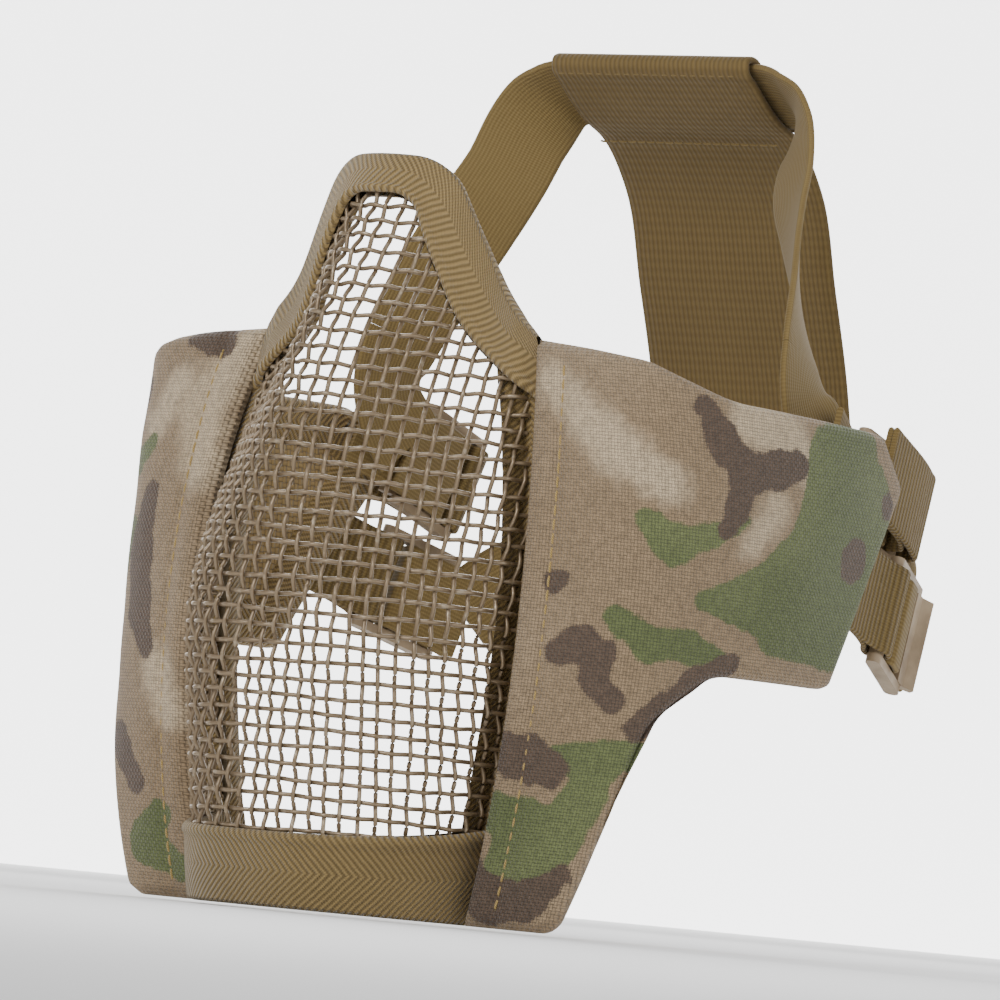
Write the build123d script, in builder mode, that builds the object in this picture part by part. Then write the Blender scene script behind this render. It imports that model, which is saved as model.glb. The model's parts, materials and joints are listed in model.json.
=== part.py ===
from build123d import *
import os
from math import cos, pi, radians, sin, sqrt

# Half-face mask: a formed woven-wire front, two padded fabric cheek panels and an elastic
# head harness. Origin on the mid-plane at the chin edge, +Z up, -Y forwards, wearer's left +X.

# ---- Driving dimensions (mm) ----
panel_height = 112.0        # front edge of a cheek panel, from the chin edge up
nose_height = 145.0         # top of the nose arch above the chin edge
screen_thickness = 1.7      # two crossing wires of the woven cloth
binding_thickness = 1.15    # one wall of the folded tape over an edge
binding_play = 0.05         # between the tape's fold and the wire cloth inside it
edge_cover = 1.3            # tape folded past the wire cloth's cut edge
chin_tape_height = 14.2     # visible face of the chin tape at the mid-plane
side_tape_depth = 6.0       # side tape's face along the screen's side edges

cover_thickness = 1.0       # outer nylon with its backing
foam_thickness = 3.0
lining_thickness = 1.0
tape_thickness = 0.9        # edge tape sewn round the lining
tape_width = 9.0
foam_inset = 6.0            # foam stops short of the sewn edges
tab_pocket = 18.0           # foam stops this far before the rear edge, where the tabs are sewn in

strap_width = 18.0
strap_thickness = 1.3
band_width = 50.0           # wide ribbed elastic down the back of the head
band_thickness = 1.6
tunnel_play = 0.5           # hem tunnel round the strap, each side

bar_radius = 1.5            # buckle's fixed bar
bar_play = 0.3              # tab loop round that bar
strap_play = 0.35           # strap past the buckle's bars
rail_width = 1.8
rail_height = 3.0
middle_bar_length = 3.0
middle_bar_height = 2.0
thumb_bar_length = 4.0
tail_length = 13.0          # free end of a strap past the thumb bar
tab_reach_upper = 14.0      # rear edge of the panel to the buckle's fixed bar
tab_reach_lower = 12.5

# Front edge of the left panel: it bows out and forwards at mid height.
edge_x = 41.2
edge_x_bow = 8.9
edge_y = -2.2
edge_y_lean_top = 7.0
edge_y_lean_bottom = 4.4
bow_centre = 58.0
lean_centre = 52.0
lean_span = 60.0

# Wire screen sections: height, half width at the sewn edge, y there, y of the ridge, and how
# far the section has changed from a rounded chin (0) to a nose (1).
screen_sections = [
    (0.0, 28.5, 9.5, -22.5, 0.0),
    (30.0, 34.0, 7.5, -24.5, 0.0),
    (60.0, 37.0, 6.5, -26.0, 0.0),
    (85.0, 35.8, 6.0, -25.5, 0.4),
    (99.0, 33.6, 6.0, -22.5, 0.65),
    (panel_height, 30.4, 6.0, -18.0, 0.9),
    (122.0, 30.4, 6.0, -12.5, 1.0),
    (134.0, 30.2, 6.0, -6.5, 1.0),
    (nose_height + 2.0, 30.0, 6.0, -1.0, 1.0),
]
chin_width_power = 2.7      # flatter across the chin
chin_depth_power = 1.6      # straighter down the sides
nose_power = 1.4            # narrower bell over the nose

# Nose arch seen from the front: x, z and corner radius on the left half, from the top down.
arch_outer = [(12.8, nose_height, 11.0), (25.6, 120.8, 30.0), (36.0, 109.5, 0.0)]
arch_inner = [(7.2, 137.7, 6.0), (19.0, 112.6, 28.0), (38.0, 97.5, 0.0)]

# Cheek panel outline, laid on the upright plane that faces outwards at 45 degrees:
# distance along that plane, height and corner radius.
panel_front_trim = 15.0
panel_outline = [
    (39.5, 0.0, 4.0),
    (54.5, 41.0, 14.0),
    (66.0, 51.3, 12.0),
    (91.8, 51.3, 1.5),
    (105.3, 92.0, 2.5),
    (99.0, 101.6, 3.0),
    (66.0, 103.0, 30.0),
    (47.0, 109.0, 20.0),
]
panel_plan_rear = [(71.0, 18.0), (74.0, 34.0), (73.5, 50.0), (71.0, 66.0), (67.0, 82.0), (64.4, 91.0)]

pad_thickness = cover_thickness + foam_thickness + lining_thickness
slot_half = strap_width / 2 + 0.2
buckle_half = slot_half + rail_width

os.makedirs("parts", exist_ok=True)


# ---- Helpers ----
def offset_points(curve, distance, count=24):
    """Points along a plan curve, moved to the right of travel by a distance."""
    points = []
    for step in range(count + 1):
        tangent = curve % (step / count)
        points.append(curve @ (step / count) + Vector(tangent.Y, -tangent.X) * distance)
    return points


def layer_section(curve, near, far):
    """Closed section of a layer between two offsets from a plan curve."""
    outer = Spline(*offset_points(curve, far))
    inner = Spline(*offset_points(curve, near))
    ends = [Line(outer @ 0, inner @ 0), Line(outer @ 1, inner @ 1)]
    return make_face([outer, inner] + ends).face()


def layer(curves, near, far):
    """Solid layer between two offsets from a family of plan curves, one at each height."""
    sections = [layer_section(curve, near, far) for curve in curves]
    with BuildPart() as body:
        loft(sections=sections, ruled=True)
    return body.part


def chin_shape(share):
    return (1 - share ** chin_width_power) ** (1 / chin_depth_power)


def nose_shape(share):
    return (0.5 + 0.5 * cos(pi * share)) ** nose_power


def screen_curve(height, half_width, seam_y, ridge_y, nose, fine=400, spans=9):
    """Plan curve of the wire screen, from the right sewn edge round the ridge to the left."""
    points = []
    for step in range(fine + 1):
        share = sin(step / fine * pi / 2)
        rise = (1 - nose) * chin_shape(share) + nose * nose_shape(share)
        points.append(Vector(half_width * share, seam_y - (seam_y - ridge_y) * rise, height))
    reach = [0.0]
    for before, after in zip(points, points[1:]):
        reach.append(reach[-1] + (after - before).length)
    left = [next(p for p, r in zip(points, reach) if r >= reach[-1] * k / spans - 1e-6) for k in range(spans + 1)]
    right = [Vector(-p.X, p.Y, p.Z) for p in reversed(left[1:])]
    return Spline(*right, *left)


def panel_edge(height):
    lean = edge_y_lean_top if height > lean_centre else edge_y_lean_bottom
    x = edge_x - edge_x_bow * ((height - bow_centre) / bow_centre) ** 2
    y = edge_y + lean * ((height - lean_centre) / lean_span) ** 2
    return x, y


def panel_curve(height):
    """Plan curve of the left panel's outer face, from its front edge round to the rear."""
    x, y = panel_edge(height)
    front = [(x, y), (53.0, 0.5 + 0.5 * (y - edge_y)), (64.2, 6.0 + 0.25 * (y - edge_y))]
    return Spline(*[(px, py, height) for px, py in front + panel_plan_rear])


def add_side(shape, sign):
    """Add a piece drawn for the left side to the current part, mirrored for the right side."""
    if sign > 0:
        add(shape)
    else:
        mirror(shape, about=Plane.YZ)


def finish(builder, label):
    builder.part.label = label
    export_step(builder.part, f"parts/{label}.step")


screen_curves = [screen_curve(*section) for section in screen_sections]
panel_curves = [panel_curve(height) for height in (-1.0, 28.0, 56.0, 84.0, panel_height + 1.5)]
front_plane = Plane(origin=(0, -80, 0), x_dir=(1, 0, 0), z_dir=(0, -1, 0))
side_plane = Plane(origin=(0, 0, 0), x_dir=(1 / sqrt(2), 1 / sqrt(2), 0), z_dir=(1 / sqrt(2), -1 / sqrt(2), 0))


# ---- Front outlines ----
def arch_corners(arch):
    """Whole arch from the right foot over the top to the left foot, with its corner radii."""
    left = [(x, z) for x, z, radius in arch]
    right = [(-x, z) for x, z in reversed(left)]
    radii = [radius for x, z, radius in arch[:-1]]
    return right + left, radii[::-1] + radii


def arch_face(inset=0.0):
    """Front view of everything under the nose arch, from the chin edge up."""
    corners, radii = arch_corners(arch_outer)
    with BuildSketch(front_plane) as sketch:
        with BuildLine():
            FilletPolyline(*corners, radius=radii)
            Polyline(corners[-1], (60, corners[-1][1]), (60, 0), (-60, 0), (-60, corners[0][1]), corners[0])
        make_face()
        if inset:
            offset(amount=-inset, kind=Kind.INTERSECTION, mode=Mode.REPLACE)
    return sketch.sketch


def window_face():
    """Front view of the wire that the nose and chin tapes leave open."""
    corners, radii = arch_corners(arch_inner)
    with BuildSketch(front_plane) as sketch:
        with BuildLine():
            FilletPolyline(*corners, radius=radii)
            chin_line = ThreePointArc((-60, chin_tape_height + 10.4), (0, chin_tape_height),
                                      (60, chin_tape_height + 10.4))
            Polyline(corners[-1], (60, corners[-1][1]), chin_line @ 1)
            Polyline(corners[0], (-60, corners[0][1]), chin_line @ 0)
        make_face()
    return sketch.sketch


def front_block(inset):
    """Block in front of the screen's sewn edges, less an inset."""
    rear_line = [(seam_y - inset, height) for height, width, seam_y, ridge_y, nose in screen_sections]
    with BuildPart() as block:
        with BuildSketch(Plane.YZ):
            with BuildLine():
                Polyline((-60, -1), *rear_line, (-60, nose_height + 2), close=True)
            make_face()
        extrude(amount=60, both=True)
    return block.part


tape_reach = screen_thickness / 2 + binding_play + binding_thickness
slot_reach = screen_thickness / 2 + binding_play
screen_layer = layer(screen_curves, -screen_thickness / 2, screen_thickness / 2)
slot_layer = layer(screen_curves, -slot_reach, slot_reach)
tape_layer = layer(screen_curves, -tape_reach, tape_reach)
tape_outline = arch_face()
screen_outline = arch_face(edge_cover)
slot_outline = arch_face(edge_cover - binding_play)
window = window_face()
screen_block = front_block(edge_cover)
slot_block = front_block(edge_cover - binding_play)

with BuildPart() as mesh_screen:
    add(screen_layer)
    add(screen_block, mode=Mode.INTERSECT)
    extrude(screen_outline, amount=-200, mode=Mode.INTERSECT)
finish(mesh_screen, "mesh_screen")

with BuildPart() as edge_tapes:
    add(tape_layer)
    extrude(tape_outline, amount=-200, mode=Mode.INTERSECT)
    extrude(window, amount=-200, mode=Mode.SUBTRACT)

with BuildPart() as screen_slot:
    add(slot_layer)
    add(slot_block, mode=Mode.INTERSECT)
    extrude(slot_outline, amount=-200, mode=Mode.INTERSECT)

split_height = (panel_height + chin_tape_height) / 2
with BuildPart() as nose_binding:
    add(edge_tapes.part)
    add(screen_slot.part, mode=Mode.SUBTRACT)
    split(bisect_by=Plane.XY.offset(split_height), keep=Keep.TOP)
finish(nose_binding, "nose_binding")

with BuildPart() as chin_binding:
    add(edge_tapes.part)
    add(screen_slot.part, mode=Mode.SUBTRACT)
    split(bisect_by=Plane.XY.offset(split_height), keep=Keep.BOTTOM)
finish(chin_binding, "chin_binding")

# Side tapes run up the screen's sewn edges between the chin tape and the nose tape.
side_tape_bottom = 19.5
side_tape_top = 97.0
with BuildPart() as side_tape:
    add(tape_layer)
    with BuildSketch(Plane.YZ):
        with BuildLine():
            front_line = ThreePointArc((8.5 - side_tape_depth, side_tape_bottom),
                                       (6.5 - side_tape_depth, 60), (6.0 - side_tape_depth, side_tape_top))
            Polyline(front_line @ 1, (20, side_tape_top), (20, side_tape_bottom), front_line @ 0)
        make_face()
    extrude(amount=80, mode=Mode.INTERSECT)
    add(screen_slot.part, mode=Mode.SUBTRACT)

for side, sign in (("left", 1), ("right", -1)):
    with BuildPart() as side_binding:
        add_side(side_tape.part, sign)
    finish(side_binding, f"{side}_side_binding")


# ---- Cheek panels ----
def panel_prism(front=panel_front_trim, inset=0.0, rear=200.0):
    """Upright block with the panel's outline, for trimming a layer."""
    with BuildPart() as prism:
        with BuildSketch(side_plane.offset(-20)):
            with BuildLine():
                corners = [(panel_front_trim, 0.0)]
                corners += [(u, z) for u, z, radius in panel_outline]
                corners += [(27.5, panel_height), (panel_front_trim, panel_height)]
                radii = [0.5] + [radius for u, z, radius in panel_outline] + [4.0, 0.5]
                FilletPolyline(*corners, radius=radii, close=True)
            make_face()
            if inset:
                offset(amount=-inset, mode=Mode.REPLACE)
            with Locations(((front + rear) / 2, panel_height / 2)):
                Rectangle(rear - front, panel_height * 2, mode=Mode.INTERSECT)
        extrude(amount=90)
    return prism.part


hem_end = 32.0              # the cover's folded front hem ends here, where the topstitch runs
foam_rear = 105.3 - tab_pocket
cover_layer = layer(panel_curves, -cover_thickness, 0)
foam_layer = layer(panel_curves, -cover_thickness - foam_thickness, -cover_thickness)
lining_layer = layer(panel_curves, -pad_thickness, -cover_thickness - foam_thickness)
tape_face_layer = layer(panel_curves, -pad_thickness - tape_thickness, -pad_thickness)

panel_block = panel_prism()
hem_block = panel_prism(rear=hem_end)
foam_block = panel_prism(front=hem_end, inset=foam_inset, rear=foam_rear)
tape_block = panel_prism(front=hem_end)
tape_core = panel_prism(front=hem_end - 5, inset=tape_width)

with BuildPart() as front_hem:
    add(foam_layer)
    add(hem_block, mode=Mode.INTERSECT)

with BuildPart() as cover:
    add(cover_layer)
    add(panel_block, mode=Mode.INTERSECT)
    add(front_hem.part)

with BuildPart() as foam:
    add(foam_layer)
    add(foam_block, mode=Mode.INTERSECT)

with BuildPart() as lining:
    add(lining_layer)
    add(panel_block, mode=Mode.INTERSECT)

with BuildPart() as edge_tape:
    add(tape_face_layer)
    add(tape_block, mode=Mode.INTERSECT)
    add(tape_core, mode=Mode.SUBTRACT)

for side, sign in (("left", 1), ("right", -1)):
    for name, piece in (("cover", cover), ("foam", foam), ("lining", lining), ("edge_tape", edge_tape)):
        with BuildPart() as panel_piece:
            add_side(piece.part, sign)
        finish(panel_piece, f"{side}_cheek_{name}")

# ---- Webbing tabs and buckles, left side ----
# The tabs are sewn in at the panel's rear edge and leave it along its surface, dipping a little.
# Each plane has x from the fixed bar towards the thumb bar, z along the bars, and y on the side
# where the loaded strap lies.
def rear_place(height):
    """Mid-thickness point of the pad a little in front of its rear edge, and the surface there."""
    low, high = panel_outline[3], panel_outline[4]
    edge = low[0] + (high[0] - low[0]) * (height - low[1]) / (high[1] - low[1])
    curve = panel_curve(height)
    shares = [step / 1000 for step in range(1001)]
    target = (edge - 0.5 * tab_bite) * sqrt(2)
    share = next(s for s in shares if (curve @ s).X + (curve @ s).Y > target)
    heading = (curve % share).normalized()
    normal = Vector(heading.Y, -heading.X)
    return curve @ share - normal * (cover_thickness + foam_thickness / 2), heading, normal


def square_to(direction, axis):
    """A direction turned the least way to stand square to an axis."""
    return (direction - axis * direction.dot(axis)).normalized()


webbing_thickness = 1.2     # one layer of a tab
tab_bite = 4.0              # from the pad's rear edge to the middle of the sewn-in length
tab_heights = {"upper": 94.0, "lower": 73.2}
tab_reaches = {"upper": tab_reach_upper, "lower": tab_reach_lower}
tab_dips = {"upper": radians(20.0), "lower": radians(18.0)}
tab_offsets = {"upper": 5.0, "lower": 0.0}      # the upper buckle is folded forwards inside the panel
loop_radius = bar_radius + bar_play + strap_thickness
middle_start = loop_radius + strap_play + strap_thickness + 2 * strap_play
middle_end = middle_start + middle_bar_length
thumb_start = middle_end + strap_play * 2 + strap_thickness + 2.4
thumb_end = thumb_start + thumb_bar_length
thumb_face = 0.0            # underside of the thumb bar, where the strap's tail passes
tail_line = thumb_face + strap_play + strap_thickness / 2
main_line = tail_line + strap_thickness + 0.15
wrap_line = middle_bar_height / 2 + strap_play + strap_thickness / 2
up_slot = middle_start - strap_play - strap_thickness / 2
down_slot = middle_end + strap_play + strap_thickness / 2


def tab_sketch(plane, reach, aside):
    """Side view of a tab: two sewn layers that open into a loop round the fixed bar. With the
    buckle folded forwards, the layers lie aside of the bar and come to it square on."""
    inner = bar_radius + bar_play
    root = -reach - 2 * tab_bite
    near, far = -aside + webbing_thickness, -aside - webbing_thickness
    if aside:
        outline = [(root, near), (-2.6, near), (-loop_radius, -0.8), (loop_radius, -0.8), (1.4, far), (root, far)]
        hollow = [(-inner * 0.9, -0.7), (inner * 0.9, -0.7), (-0.3, near - 0.2)]
    else:
        outline = [(root, near), (-5.5, near), (-1.5, loop_radius * 0.87), (-1.5, -loop_radius * 0.87),
                   (-5.5, far), (root, far)]
        hollow = [(-5.2, 0), (-1.2, inner * 0.72), (-1.2, -inner * 0.72)]
    with BuildSketch(plane) as sketch:
        Circle(loop_radius)
        with BuildLine():
            Polyline(*outline, close=True)
        make_face()
        with BuildLine():
            Polyline(*hollow, close=True)
        make_face(mode=Mode.SUBTRACT)
        Circle(inner, mode=Mode.SUBTRACT)
    return sketch.sketch


def buckle_part(plane):
    """Ladder-lock buckle: two rails, a fixed bar, a middle bar and a raised thumb bar."""
    with BuildPart() as body:
        with BuildSketch(plane):
            with Locations(((thumb_end - bar_radius - 0.6) / 2, 0)):
                RectangleRounded(thumb_end + bar_radius + 0.6, rail_height, rail_height / 2 - 0.05)
        extrude(amount=buckle_half, both=True)
        with BuildSketch(plane):
            with Locations(((thumb_end) / 2, 0)):
                Rectangle(thumb_end + 20, rail_height * 3)
        extrude(amount=slot_half, both=True, mode=Mode.SUBTRACT)
        with BuildSketch(plane):
            Circle(bar_radius)
            with Locations(((middle_start + middle_end) / 2, 0)):
                RectangleRounded(middle_bar_length, middle_bar_height, 0.6)
            with BuildLine():
                Polyline((thumb_start, thumb_face), (thumb_end, thumb_face), (thumb_end + 2.2, thumb_face - 2.6),
                         (thumb_end + 1.2, thumb_face - 3.6), (thumb_end - 1.2, thumb_face - 1.9),
                         (thumb_start, thumb_face - 1.6), close=True)
            make_face()
        extrude(amount=slot_half + 0.1, both=True)
    return body.part


thumb_gap = 4.0             # the strap runs straight into its buckle over this length


def strap_wrap(plane):
    """A strap through its buckle: in under the bars, up the rear slot, over the middle bar,
    down the front slot and out under the thumb bar as a hemmed tail."""
    tail_end = thumb_end + tail_length
    with BuildPart() as body:
        with BuildSketch(plane):
            with BuildLine():
                FilletPolyline((thumb_end + thumb_gap, main_line), (up_slot, main_line), (up_slot, -wrap_line),
                               (down_slot, -wrap_line), (down_slot, tail_line), (thumb_end + 3, tail_line),
                               (tail_end, tail_line - 5.0), radius=[1.3, 0.9, 0.9, 0.9, 6.0])
            trace(line_width=strap_thickness)
            with Locations(Location((tail_end - 2.2, tail_line - 5.0 - 0.2, 0), (0, 0, -27))):
                Rectangle(5.0, strap_thickness * 2)
        extrude(amount=strap_width / 2, both=True)
    return body.part


tab_planes = {}
buckle_planes = {}
for level in ("upper", "lower"):
    root, heading, normal = rear_place(tab_heights[level])
    up = Vector(0, 0, 1)
    out = heading * cos(tab_dips[level]) - up * sin(tab_dips[level])
    bar = heading * sin(tab_dips[level]) + up * cos(tab_dips[level])
    centre = root + out * (tab_bite + tab_reaches[level]) - normal * tab_offsets[level]
    way, turn = (Vector(-0.36, 0.92, 0.0), 1) if level == "lower" else (Vector(0.0, -0.93, 0.36), -1)
    tab_planes[level] = Plane(origin=centre, x_dir=out, z_dir=bar)
    buckle_planes[level] = Plane(origin=centre, x_dir=square_to(way, bar), z_dir=bar * turn)
    print(level, "fixed bar at", [round(v, 3) for v in centre], "along", [round(v, 4) for v in bar])

for level in ("upper", "lower"):
    tab_face = tab_sketch(tab_planes[level], tab_reaches[level], tab_offsets[level])
    buckle_body = buckle_part(buckle_planes[level])
    with BuildPart() as tab:
        extrude(tab_face, amount=strap_width / 2, both=True)
    for side, sign in (("left", 1), ("right", -1)):
        with BuildPart() as side_tab:
            add_side(tab.part, sign)
        finish(side_tab, f"{side}_{level}_tab")
        with BuildPart() as buckle:
            add_side(buckle_body, sign)
        finish(buckle, f"{side}_{level}_buckle")


# ---- Elastic straps ----
def ribbon_corners(centre, across, travel):
    """The four corners of a flat strap's cross-section."""
    side = square_to(across, travel) * (strap_width / 2)
    normal = travel.cross(side).normalized() * (strap_thickness / 2)
    return [centre + side + normal, centre + side - normal, centre - side - normal, centre - side + normal]


def strap_node(label, stations, plane):
    """A whole strap: the free run from buckle to buckle and the wraps at both buckles."""
    entry = plane.from_local_coords(Vector(thumb_end + thumb_gap, main_line, 0))
    across = plane.z_dir if plane.z_dir.dot(stations[-1][1]) > 0 else plane.z_dir * -1
    centres = [centre for centre, width in stations] + [entry, entry - plane.x_dir]
    widths = [width for centre, width in stations] + [across]
    travels = [(ahead - behind).normalized() for behind, ahead in zip(centres, centres[2:])]
    travels = [Vector(1, 0, 0)] + travels[:-1] + [plane.x_dir * -1]
    corners = [ribbon_corners(*place) for place in zip(centres, widths, travels)]
    sections = [make_face(Polyline(*points, close=True)).face() for points in corners]
    wrap = strap_wrap(plane)
    with BuildPart() as half_strap:
        loft(sections=sections, ruled=True)
        add(wrap)
    with BuildPart() as strap:
        add(half_strap.part)
        mirror(half_strap.part, about=Plane.YZ)
    finish(strap, label)


def station(x, y, z, across):
    return Vector(x, y, z), Vector(*across)


tunnel_across = Vector(0, 0.8, -0.6)
crown_centre = Vector(0, 81.9, 167.3)
nape_centre = Vector(0, 122.0, 80.0)
crown_stations = [
    (crown_centre, tunnel_across),
    (crown_centre + Vector(band_width / 2 + 1, 0, 0), tunnel_across),
    station(30.0, 81.3, 165.2, (-0.25, 0.78, -0.6)),
    station(33.5, 79.2, 160.0, (-0.7, 0.55, -0.4)),
    station(36.5, 76.0, 151.0, (-0.85, 0.5, -0.15)),
    station(40.5, 72.5, 141.0, (-0.75, 0.65, 0.0)),
    station(46.0, 68.5, 128.0, (-0.6, 0.8, 0.1)),
    station(50.5, 65.5, 116.0, (-0.4, 0.85, 0.3)),
    station(53.0, 65.0, 108.0, (-0.25, 0.8, 0.5)),
    station(54.2, 67.5, 102.0, (-0.1, 0.6, 0.8)),
]
nape_stations = [
    (nape_centre, Vector(0, 0, 1)),
    (nape_centre + Vector(band_width / 2 + 1, 0, 0), Vector(0, 0, 1)),
    station(34.0, 119.5, 78.5, (0, 0, 1)),
    station(43.0, 113.5, 74.5, (0, 0.05, 1)),
    station(50.5, 106.5, 69.5, (0, 0.1, 1)),
]
strap_node("crown_strap", crown_stations, buckle_planes["upper"])
strap_node("nape_strap", nape_stations, buckle_planes["lower"])

# ---- Wide rear band: a flat sheet with a hem tunnel round each strap ----
wall = 1.2
tunnel_long = strap_width + 2 * tunnel_play
tunnel_thick = strap_thickness + 2 * tunnel_play
crown_tilt = -36.87         # the crown tunnel's slope, degrees from level
with BuildPart() as rear_band:
    with BuildSketch(Plane.YZ):
        with BuildLine():
            Spline((89.9, 161.4), (94.6, 157.4), (99.8, 151.0), (107.3, 132.0), (112.9, 117.0),
                   (118.0, 100.0), (nape_centre.Y, nape_centre.Z + tunnel_long / 2 + wall / 2))
        trace(line_width=band_thickness)
        with Locations(Location((crown_centre.Y, crown_centre.Z, 0), (0, 0, crown_tilt))):
            RectangleRounded(tunnel_long + 2 * wall, tunnel_thick + 2 * wall, 1.5)
        with Locations((nape_centre.Y, nape_centre.Z)):
            RectangleRounded(tunnel_thick + 2 * wall, tunnel_long + 2 * wall, 1.5)
        with Locations(Location((crown_centre.Y, crown_centre.Z, 0), (0, 0, crown_tilt))):
            Rectangle(tunnel_long, tunnel_thick, mode=Mode.SUBTRACT)
        with Locations((nape_centre.Y, nape_centre.Z)):
            Rectangle(tunnel_thick, tunnel_long, mode=Mode.SUBTRACT)
    extrude(amount=band_width / 2, both=True)
finish(rear_band, "rear_band")
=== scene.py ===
import json
from math import cos, pi, radians, sin, sqrt

import bpy
import numpy as np
from mathutils import Matrix, Vector


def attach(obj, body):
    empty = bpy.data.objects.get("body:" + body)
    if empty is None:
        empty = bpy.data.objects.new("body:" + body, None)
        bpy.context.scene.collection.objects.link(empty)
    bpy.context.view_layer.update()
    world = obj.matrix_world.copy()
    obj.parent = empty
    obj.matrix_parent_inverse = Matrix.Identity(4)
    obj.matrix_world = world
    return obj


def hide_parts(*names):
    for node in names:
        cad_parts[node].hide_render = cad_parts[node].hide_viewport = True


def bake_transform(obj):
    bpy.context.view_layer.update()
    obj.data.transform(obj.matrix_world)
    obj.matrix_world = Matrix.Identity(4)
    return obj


# Half-face mask: woven-wire front, padded camouflage cheek panels and an elastic head harness.
# Sizes here are in millimetres in the CAD frame and become metres in build().
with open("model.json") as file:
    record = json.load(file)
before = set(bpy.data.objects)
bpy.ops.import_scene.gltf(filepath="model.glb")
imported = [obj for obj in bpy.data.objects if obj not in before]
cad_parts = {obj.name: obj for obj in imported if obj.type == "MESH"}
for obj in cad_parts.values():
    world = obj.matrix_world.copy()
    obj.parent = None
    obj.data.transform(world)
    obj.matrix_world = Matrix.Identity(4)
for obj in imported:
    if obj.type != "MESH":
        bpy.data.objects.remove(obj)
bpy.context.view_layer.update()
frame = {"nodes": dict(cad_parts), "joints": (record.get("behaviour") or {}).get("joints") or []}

SIDES = (("left", 1), ("right", -1))
MM = 0.001


# ---------------------------------------------------------------- small geometry helpers
def arr(*v):
    return np.array(v, float)


def unit(v):
    v = np.asarray(v, float)
    return v / np.maximum(np.linalg.norm(v, axis=-1, keepdims=True), 1e-12)


def arc_lengths(points):
    steps = np.linalg.norm(np.diff(points, axis=0), axis=1)
    return np.concatenate([[0.0], np.cumsum(steps)])


def resample(points, count):
    points = np.asarray(points, float)
    along = arc_lengths(points)
    at = np.linspace(0, along[-1], count)
    return np.stack([np.interp(at, along, points[:, k]) for k in range(points.shape[1])], 1)


def smooth_line(points, fine=12):
    """A smooth curve through points of any dimension: a cubic in each span."""
    p = np.asarray(points, float)
    t = arc_lengths(p)
    slopes = np.gradient(p, t, axis=0)
    out = []
    for i in range(len(p) - 1):
        h = t[i + 1] - t[i]
        for k in range(fine):
            s = k / fine
            a, b = 2 * s ** 3 - 3 * s ** 2 + 1, s ** 3 - 2 * s ** 2 + s
            c, d = -2 * s ** 3 + 3 * s ** 2, s ** 3 - s ** 2
            out.append(a * p[i] + b * h * slopes[i] + c * p[i + 1] + d * h * slopes[i + 1])
    out.append(p[-1])
    return np.array(out)


def fillet_line(corners, radii, fine=6):
    """A line of straight runs whose inner corners are rounded."""
    p = [np.asarray(c, float) for c in corners]
    out = [p[0]]
    for i in range(1, len(p) - 1):
        a, b = unit(p[i - 1] - p[i]), unit(p[i + 1] - p[i])
        half = np.arccos(np.clip(a @ b, -1, 1)) / 2
        room = 0.48 * min(np.linalg.norm(p[i - 1] - p[i]), np.linalg.norm(p[i + 1] - p[i]))
        r = min(radii[i - 1], room * np.tan(half))
        cut = r / np.tan(half)
        centre = p[i] + unit(a + b) * (r / np.sin(half))
        first, last = p[i] + a * cut - centre, p[i] + b * cut - centre
        for k in range(fine + 1):
            s = k / fine
            out.append(centre + unit(first * (1 - s) + last * s) * r)
    out.append(p[-1])
    return np.array(out)


def build(name, grids, material, closed=False, caps=False):
    """One mesh from grids of (points, uv in mm, extra fields); rows run along the piece."""
    verts, faces, uvs, fields = [], [], [], {}
    base = 0
    for points, uv, extra in grids:
        rows, cols = points.shape[:2]
        verts.append(points.reshape(-1, 3))
        uvs.append(uv.reshape(-1, 2))
        for key, value in extra.items():
            fields.setdefault(key, []).append(value.reshape(-1))
        last = cols if closed else cols - 1
        for i in range(rows - 1):
            for j in range(last):
                a, b = base + i * cols + j, base + i * cols + (j + 1) % cols
                faces.append((a, b, b + cols, a + cols))
        base += rows * cols
        if caps and closed:
            # the end faces have their own corners, so the sides' shading runs straight into them
            for end, order in ((0, -1), (-1, 1)):
                verts.append(points[end])
                uvs.append(uv[end])
                for key, value in extra.items():
                    fields[key].append(value[end])
                faces.append(tuple(base + j for j in range(cols)[::order]))
                base += cols
    mesh = bpy.data.meshes.new(name)
    mesh.from_pydata((np.concatenate(verts) * MM).tolist(), [], faces)
    uv = np.concatenate(uvs)
    layer = mesh.uv_layers.new(name="cloth")
    index = np.zeros(len(mesh.loops), np.int64)
    mesh.loops.foreach_get("vertex_index", index)
    layer.data.foreach_set("uv", uv[index].astype(np.float32).ravel())
    for key, values in fields.items():
        attribute = mesh.attributes.new(key, "FLOAT", "POINT")
        attribute.data.foreach_set("value", np.concatenate(values).astype(np.float32))
    mesh.update()
    mesh.polygons.foreach_set("use_smooth", [True] * len(mesh.polygons))
    piece = bpy.data.objects.new(name, mesh)
    bpy.context.scene.collection.objects.link(piece)
    piece.data.materials.append(material)
    return piece


def flip(points, sign):
    return points * arr(sign, 1, 1)


def turn_faces(piece):
    """Mirrored pieces need their faces turned to look outwards again."""
    piece.data.flip_normals()
    return piece


def tube(points, radius, sides=7):
    """Grid of a round tube along a line."""
    travel = unit(np.gradient(points, axis=0))
    guide = np.where(np.abs(travel[:, 2:3]) > 0.9, arr(1, 0, 0)[None], arr(0, 0, 1)[None])
    across = unit(np.cross(travel, guide))
    other = np.cross(travel, across)
    angle = np.linspace(0, 2 * pi, sides, endpoint=False)
    ring = across[:, None] * np.cos(angle)[None, :, None] + other[:, None] * np.sin(angle)[None, :, None]
    grid = points[:, None] + ring * radius
    along = arc_lengths(points)
    uv = np.stack(np.broadcast_arrays(along[:, None], angle[None] * radius), -1)
    return grid, uv, {}


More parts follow.
